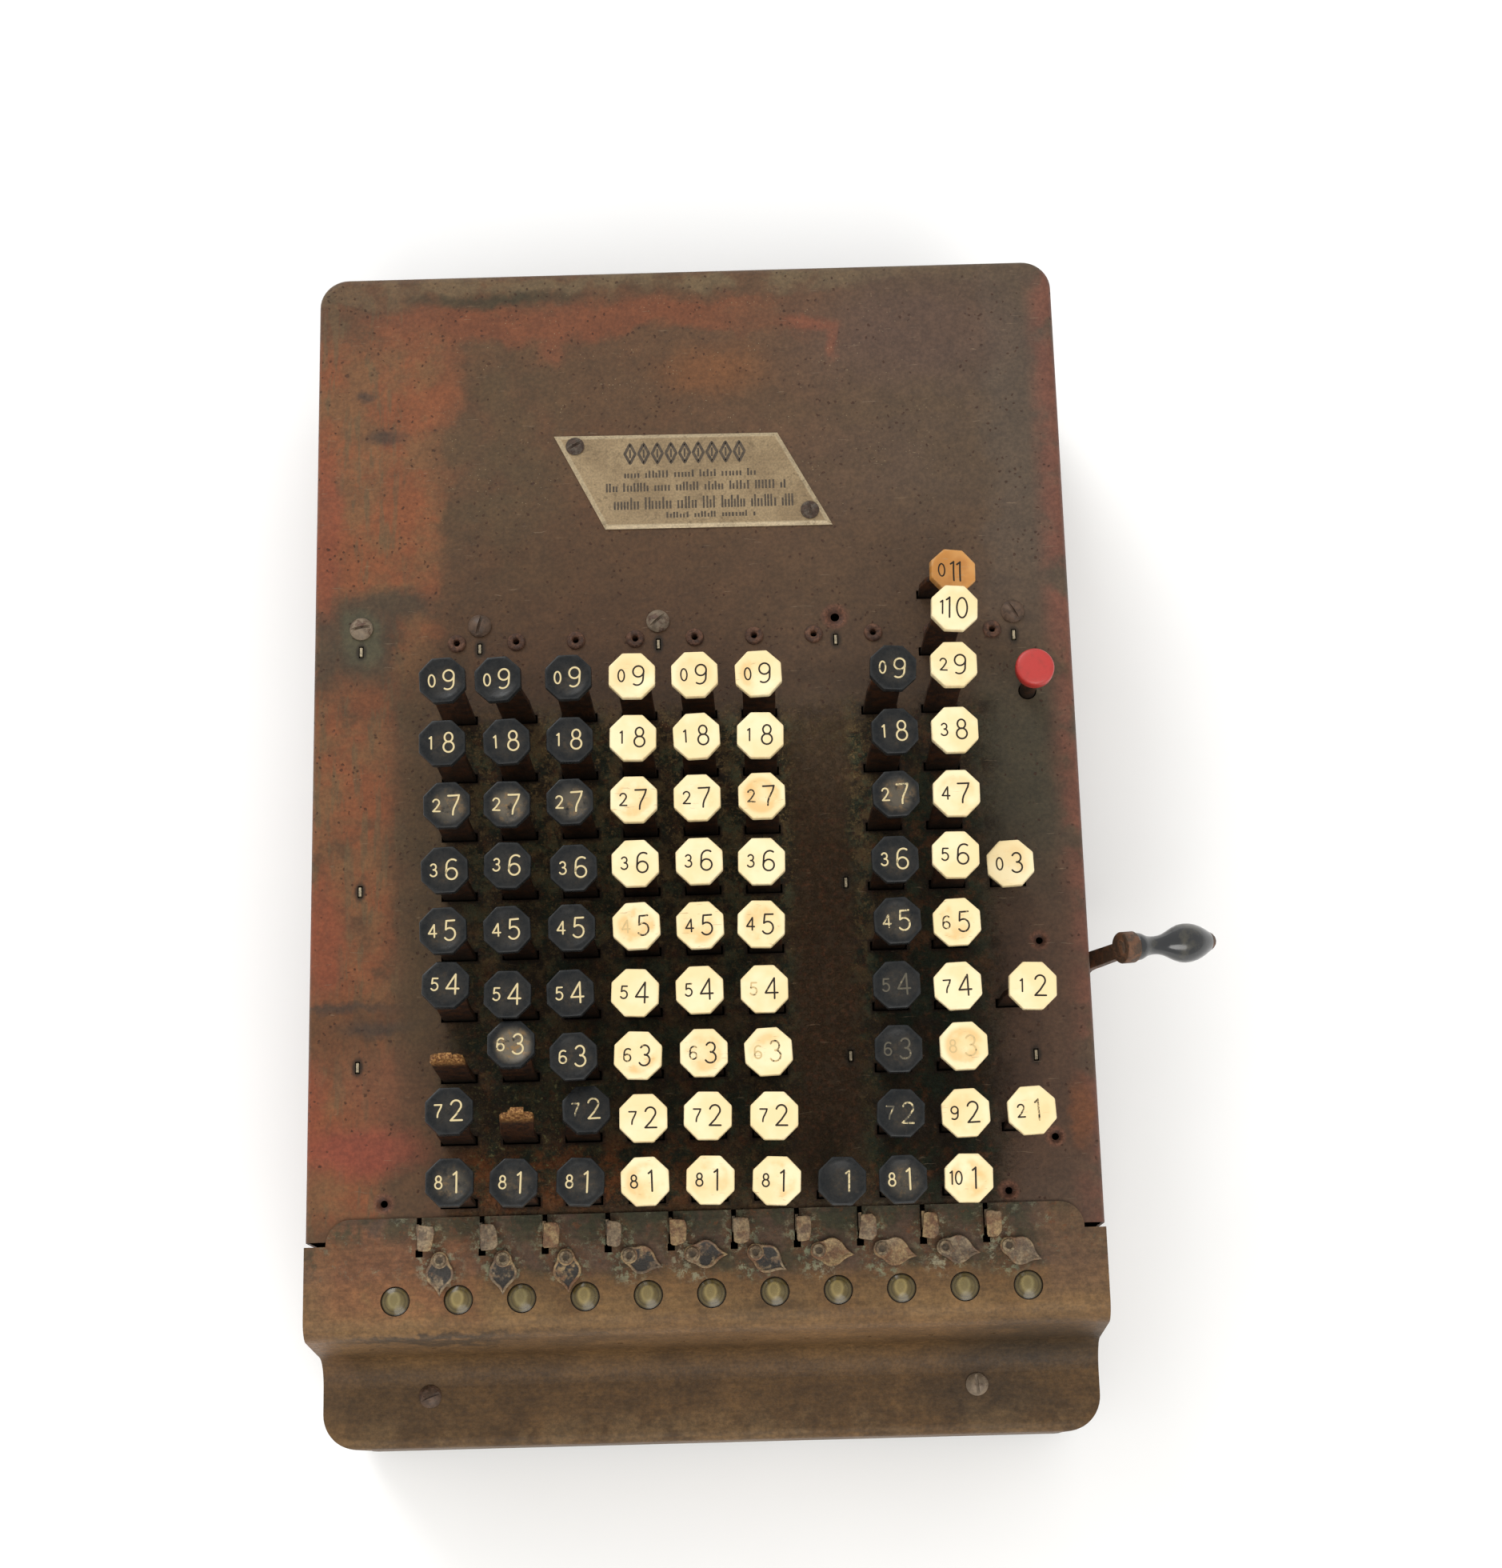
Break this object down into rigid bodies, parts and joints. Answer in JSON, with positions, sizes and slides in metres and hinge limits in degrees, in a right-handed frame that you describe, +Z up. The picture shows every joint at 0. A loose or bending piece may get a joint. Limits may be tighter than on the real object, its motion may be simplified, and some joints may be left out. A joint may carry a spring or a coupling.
{
  "type": "mechanical adding machine",
  "caption": "Key-driven mechanical adding machine: sheet-metal case, rows of octagonal keys on flat stems, register windows, decimal pointers and a side zeroing lever.",
  "frame": {"origin": "centre of the case footprint, on the plane the feet stand on", "axes": "+X to the operator's right, +Y from the operator to the rear, +Z up"},
  "size_m": [0.2853, 0.3777, 0.149],
  "materials": {
    "case_copper": "oxidised copper-plated sheet, blotched brown and olive",
    "cover_bronze": "worn bronze-brown sheet",
    "frame_iron": "dark iron",
    "feet_rubber": "matt",
    "plate_nickel": "tarnished nickelled brass",
    "screw_heads": "tarnished steel",
    "rusty_fasteners": "rusted steel",
    "window_lens": "yellowed celluloid",
    "wheel_black": "black enamel",
    "wheel_figures": "cream figures",
    "rod_steel": "oiled steel",
    "lever_steel": "oiled steel",
    "lever_iron": "rusted iron",
    "grip_black": "polished black",
    "pound_caps": "black and ivory caps by column",
    "black_caps": "worn black",
    "ivory_caps": "aged ivory",
    "amber_cap": "amber",
    "red_button": "worn red",
    "cap_figures": "filled figures",
    "key_stems": "rust-brown steel",
    "bronze_trim": "worn bronze"
  },
  "bodies": {
    "case": {"base_plate": "frame_iron", "main_case": "case_copper", "front_cover": "cover_bronze", "nameplate": "plate_nickel", "case_screws": "screw_heads", "small_fasteners": "rusty_fasteners", "window_lenses": "window_lens", "key_guide": "frame_iron", "side_frames": "frame_iron", "cross_rods": "rod_steel", "column_levers": "lever_steel", "rubber_feet": "feet_rubber"},
    "zero_lever": {"zero_lever": "lever_iron", "lever_grip": "grip_black"},
    "numeral_wheels": {"numeral_wheels": "wheel_black"},
    "cutoff_tabs": {"cutoff_tabs": "bronze_trim"},
    "release_button": {"release_button": "red_button"},
    "pound_keys_9": {"pound_keys_9": "pound_caps"},
    "pound_keys_8": {"pound_keys_8": "pound_caps"},
    "pound_keys_7": {"pound_keys_7": "pound_caps"},
    "pound_keys_6": {"pound_keys_6": "pound_caps"},
    "pound_keys_5": {"pound_keys_5": "pound_caps"},
    "pound_keys_4": {"pound_keys_4": "pound_caps"},
    "pound_keys_3": {"pound_keys_3": "pound_caps"},
    "pound_keys_2": {"pound_keys_2": "pound_caps"},
    "pound_keys_1": {"pound_keys_1": "pound_caps"},
    "ten_shilling_key": {"ten_shilling_key": "black_caps"},
    "pence_key_11": {"pence_key_11": "amber_cap"},
    "pence_key_10": {"pence_key_10": "ivory_caps"},
    "pence_key_9": {"pence_key_9": "ivory_caps"},
    "pence_key_5": {"pence_key_5": "ivory_caps"},
    "pence_key_1": {"pence_key_1": "ivory_caps"},
    "farthing_key_1": {"farthing_key_1": "ivory_caps"},
    "farthing_key_2": {"farthing_key_2": "ivory_caps"},
    "farthing_key_3": {"farthing_key_3": "ivory_caps"},
    "shilling_key_9": {"shilling_key_9": "black_caps"},
    "shilling_key_5": {"shilling_key_5": "black_caps"},
    "shilling_key_1": {"shilling_key_1": "black_caps"},
    "decimal_pointer_1": {"decimal_pointer_1": "bronze_trim"},
    "decimal_pointer_4": {"decimal_pointer_4": "bronze_trim"},
    "decimal_pointer_7": {"decimal_pointer_7": "bronze_trim"},
    "pence_key_2": {"pence_key_2": "ivory_caps"},
    "pence_key_3": {"pence_key_3": "ivory_caps"},
    "pence_key_4": {"pence_key_4": "ivory_caps"},
    "pence_key_6": {"pence_key_6": "ivory_caps"},
    "pence_key_7": {"pence_key_7": "ivory_caps"},
    "pence_key_8": {"pence_key_8": "ivory_caps"},
    "shilling_key_2": {"shilling_key_2": "black_caps"},
    "shilling_key_3": {"shilling_key_3": "black_caps"},
    "shilling_key_4": {"shilling_key_4": "black_caps"},
    "shilling_key_6": {"shilling_key_6": "black_caps"},
    "shilling_key_7": {"shilling_key_7": "black_caps"},
    "shilling_key_8": {"shilling_key_8": "black_caps"},
    "decimal_pointer_2": {"decimal_pointer_2": "bronze_trim"},
    "decimal_pointer_3": {"decimal_pointer_3": "bronze_trim"},
    "decimal_pointer_5": {"decimal_pointer_5": "bronze_trim"},
    "decimal_pointer_6": {"decimal_pointer_6": "bronze_trim"},
    "decimal_pointer_8": {"decimal_pointer_8": "bronze_trim"},
    "decimal_pointer_9": {"decimal_pointer_9": "bronze_trim"},
    "decimal_pointer_10": {"decimal_pointer_10": "bronze_trim"}
  },
  "joints": [
    {"name": "zero_lever_pull", "type": "hinge", "parent": "case", "child": "zero_lever", "pos_m": [0.1241, -0.0428, 0.042], "axis": [1, 0, 0], "range_deg": [0, 60], "stiffness_Nm_per_rad": 0.6, "springref_deg": -20.05},
    {"name": "numeral_wheels_turn", "type": "hinge", "parent": "case", "child": "numeral_wheels", "pos_m": [0.0112, -0.1462, 0.092], "axis": [1, 0, 0], "range_deg": [-360, 0]},
    {"name": "cutoff_tabs_slide", "type": "slide", "parent": "case", "child": "cutoff_tabs", "axis": [0, -1, 0], "range_m": [0, 0.0035], "stiffness_N_per_m": 200, "springref_m": -0.004},
    {"name": "release_button_press", "type": "slide", "parent": "case", "child": "release_button", "axis": [0, 0, -1], "range_m": [0, 0.005], "stiffness_N_per_m": 120, "springref_m": -0.008},
    {"name": "pound_keys_9_press", "type": "slide", "parent": "case", "child": "pound_keys_9", "axis": [0, 0, -1], "range_m": [0, 0.00895], "stiffness_N_per_m": 500, "springref_m": -0.008},
    {"name": "pound_keys_8_press", "type": "slide", "parent": "case", "child": "pound_keys_8", "axis": [0, 0, -1], "range_m": [0, 0.00956], "stiffness_N_per_m": 500, "springref_m": -0.008},
    {"name": "pound_keys_7_press", "type": "slide", "parent": "case", "child": "pound_keys_7", "axis": [0, 0, -1], "range_m": [0, 0.00976], "stiffness_N_per_m": 500, "springref_m": -0.008},
    {"name": "pound_keys_6_press", "type": "slide", "parent": "case", "child": "pound_keys_6", "axis": [0, 0, -1], "range_m": [0, 0.00957], "stiffness_N_per_m": 500, "springref_m": -0.008},
    {"name": "pound_keys_5_press", "type": "slide", "parent": "case", "child": "pound_keys_5", "axis": [0, 0, -1], "range_m": [0, 0.00897], "stiffness_N_per_m": 500, "springref_m": -0.008},
    {"name": "pound_keys_4_press", "type": "slide", "parent": "case", "child": "pound_keys_4", "axis": [0, 0, -1], "range_m": [0, 0.00798], "stiffness_N_per_m": 500, "springref_m": -0.008},
    {"name": "pound_keys_3_press", "type": "slide", "parent": "case", "child": "pound_keys_3", "axis": [0, 0, -1], "range_m": [0, 0.00658], "stiffness_N_per_m": 500, "springref_m": -0.008},
    {"name": "pound_keys_2_press", "type": "slide", "parent": "case", "child": "pound_keys_2", "axis": [0, 0, -1], "range_m": [0, 0.00479], "stiffness_N_per_m": 500, "springref_m": -0.008},
    {"name": "pound_keys_1_press", "type": "slide", "parent": "case", "child": "pound_keys_1", "axis": [0, 0, -1], "range_m": [0, 0.00259], "stiffness_N_per_m": 500, "springref_m": -0.008},
    {"name": "ten_shilling_key_press", "type": "slide", "parent": "case", "child": "ten_shilling_key", "axis": [0, 0, -1], "range_m": [0, 0.00259], "stiffness_N_per_m": 120, "springref_m": -0.008},
    {"name": "pence_key_11_press", "type": "slide", "parent": "case", "child": "pence_key_11", "axis": [0, 0, -1], "range_m": [0, 0.00654], "stiffness_N_per_m": 120, "springref_m": -0.008},
    {"name": "pence_key_10_press", "type": "slide", "parent": "case", "child": "pence_key_10", "axis": [0, 0, -1], "range_m": [0, 0.00794], "stiffness_N_per_m": 120, "springref_m": -0.008},
    {"name": "pence_key_9_press", "type": "slide", "parent": "case", "child": "pence_key_9", "axis": [0, 0, -1], "range_m": [0, 0.00895], "stiffness_N_per_m": 120, "springref_m": -0.008},
    {"name": "pence_key_5_press", "type": "slide", "parent": "case", "child": "pence_key_5", "axis": [0, 0, -1], "range_m": [0, 0.00897], "stiffness_N_per_m": 120, "springref_m": -0.008},
    {"name": "pence_key_1_press", "type": "slide", "parent": "case", "child": "pence_key_1", "axis": [0, 0, -1], "range_m": [0, 0.00259], "stiffness_N_per_m": 120, "springref_m": -0.008},
    {"name": "farthing_key_1_press", "type": "slide", "parent": "case", "child": "farthing_key_1", "axis": [0, 0, -1], "range_m": [0, 0.00239], "stiffness_N_per_m": 120, "springref_m": -0.008},
    {"name": "farthing_key_2_press", "type": "slide", "parent": "case", "child": "farthing_key_2", "axis": [0, 0, -1], "range_m": [0, 0.00399], "stiffness_N_per_m": 120, "springref_m": -0.008},
    {"name": "farthing_key_3_press", "type": "slide", "parent": "case", "child": "farthing_key_3", "axis": [0, 0, -1], "range_m": [0, 0.00478], "stiffness_N_per_m": 120, "springref_m": -0.008},
    {"name": "shilling_key_9_press", "type": "slide", "parent": "case", "child": "shilling_key_9", "axis": [0, 0, -1], "range_m": [0, 0.00895], "stiffness_N_per_m": 120, "springref_m": -0.008},
    {"name": "shilling_key_5_press", "type": "slide", "parent": "case", "child": "shilling_key_5", "axis": [0, 0, -1], "range_m": [0, 0.00897], "stiffness_N_per_m": 120, "springref_m": -0.008},
    {"name": "shilling_key_1_press", "type": "slide", "parent": "case", "child": "shilling_key_1", "axis": [0, 0, -1], "range_m": [0, 0.00259], "stiffness_N_per_m": 120, "springref_m": -0.008},
    {"name": "decimal_pointer_1_swing", "type": "hinge", "parent": "case", "child": "decimal_pointer_1", "pos_m": [-0.08002, -0.1345, 0.1044], "axis": [0, 0, 1], "range_deg": [0, 90]},
    {"name": "decimal_pointer_4_swing", "type": "hinge", "parent": "case", "child": "decimal_pointer_4", "pos_m": [-0.02287, -0.1345, 0.1044], "axis": [0, 0, 1], "range_deg": [-70, 20]},
    {"name": "decimal_pointer_7_swing", "type": "hinge", "parent": "case", "child": "decimal_pointer_7", "pos_m": [0.03427, -0.1345, 0.1044], "axis": [0, 0, 1], "range_deg": [-82, 8]},
    {"name": "pence_key_2_press", "type": "slide", "parent": "case", "child": "pence_key_2", "axis": [0, 0, -1], "range_m": [0, 0.00479], "stiffness_N_per_m": 120, "springref_m": -0.008},
    {"name": "pence_key_3_press", "type": "slide", "parent": "case", "child": "pence_key_3", "axis": [0, 0, -1], "range_m": [0, 0.00658], "stiffness_N_per_m": 120, "springref_m": -0.008},
    {"name": "pence_key_4_press", "type": "slide", "parent": "case", "child": "pence_key_4", "axis": [0, 0, -1], "range_m": [0, 0.00798], "stiffness_N_per_m": 120, "springref_m": -0.008},
    {"name": "pence_key_6_press", "type": "slide", "parent": "case", "child": "pence_key_6", "axis": [0, 0, -1], "range_m": [0, 0.00957], "stiffness_N_per_m": 120, "springref_m": -0.008},
    {"name": "pence_key_7_press", "type": "slide", "parent": "case", "child": "pence_key_7", "axis": [0, 0, -1], "range_m": [0, 0.00976], "stiffness_N_per_m": 120, "springref_m": -0.008},
    {"name": "pence_key_8_press", "type": "slide", "parent": "case", "child": "pence_key_8", "axis": [0, 0, -1], "range_m": [0, 0.00956], "stiffness_N_per_m": 120, "springref_m": -0.008},
    {"name": "shilling_key_2_press", "type": "slide", "parent": "case", "child": "shilling_key_2", "axis": [0, 0, -1], "range_m": [0, 0.00479], "stiffness_N_per_m": 120, "springref_m": -0.008},
    {"name": "shilling_key_3_press", "type": "slide", "parent": "case", "child": "shilling_key_3", "axis": [0, 0, -1], "range_m": [0, 0.00658], "stiffness_N_per_m": 120, "springref_m": -0.008},
    {"name": "shilling_key_4_press", "type": "slide", "parent": "case", "child": "shilling_key_4", "axis": [0, 0, -1], "range_m": [0, 0.00798], "stiffness_N_per_m": 120, "springref_m": -0.008},
    {"name": "shilling_key_6_press", "type": "slide", "parent": "case", "child": "shilling_key_6", "axis": [0, 0, -1], "range_m": [0, 0.00957], "stiffness_N_per_m": 120, "springref_m": -0.008},
    {"name": "shilling_key_7_press", "type": "slide", "parent": "case", "child": "shilling_key_7", "axis": [0, 0, -1], "range_m": [0, 0.00976], "stiffness_N_per_m": 120, "springref_m": -0.008},
    {"name": "shilling_key_8_press", "type": "slide", "parent": "case", "child": "shilling_key_8", "axis": [0, 0, -1], "range_m": [0, 0.00956], "stiffness_N_per_m": 120, "springref_m": -0.008},
    {"name": "decimal_pointer_2_swing", "type": "hinge", "parent": "case", "child": "decimal_pointer_2", "pos_m": [-0.06098, -0.1345, 0.1044], "axis": [0, 0, 1], "range_deg": [0, 90]},
    {"name": "decimal_pointer_3_swing", "type": "hinge", "parent": "case", "child": "decimal_pointer_3", "pos_m": [-0.04192, -0.1345, 0.1044], "axis": [0, 0, 1], "range_deg": [-4, 86]},
    {"name": "decimal_pointer_5_swing", "type": "hinge", "parent": "case", "child": "decimal_pointer_5", "pos_m": [-0.00382, -0.1345, 0.1044], "axis": [0, 0, 1], "range_deg": [-88, 2]},
    {"name": "decimal_pointer_6_swing", "type": "hinge", "parent": "case", "child": "decimal_pointer_6", "pos_m": [0.01523, -0.1345, 0.1044], "axis": [0, 0, 1], "range_deg": [-59, 31]},
    {"name": "decimal_pointer_8_swing", "type": "hinge", "parent": "case", "child": "decimal_pointer_8", "pos_m": [0.05332, -0.1345, 0.1044], "axis": [0, 0, 1], "range_deg": [-77, 13]},
    {"name": "decimal_pointer_9_swing", "type": "hinge", "parent": "case", "child": "decimal_pointer_9", "pos_m": [0.07237, -0.1345, 0.1044], "axis": [0, 0, 1], "range_deg": [-80, 10]},
    {"name": "decimal_pointer_10_swing", "type": "hinge", "parent": "case", "child": "decimal_pointer_10", "pos_m": [0.09143, -0.1345, 0.1044], "axis": [0, 0, 1], "range_deg": [-66, 24]}
  ],
  "couplings": [
    {"joint": "numeral_wheels_turn", "follows": "zero_lever_pull", "ratio": -6}
  ]
}
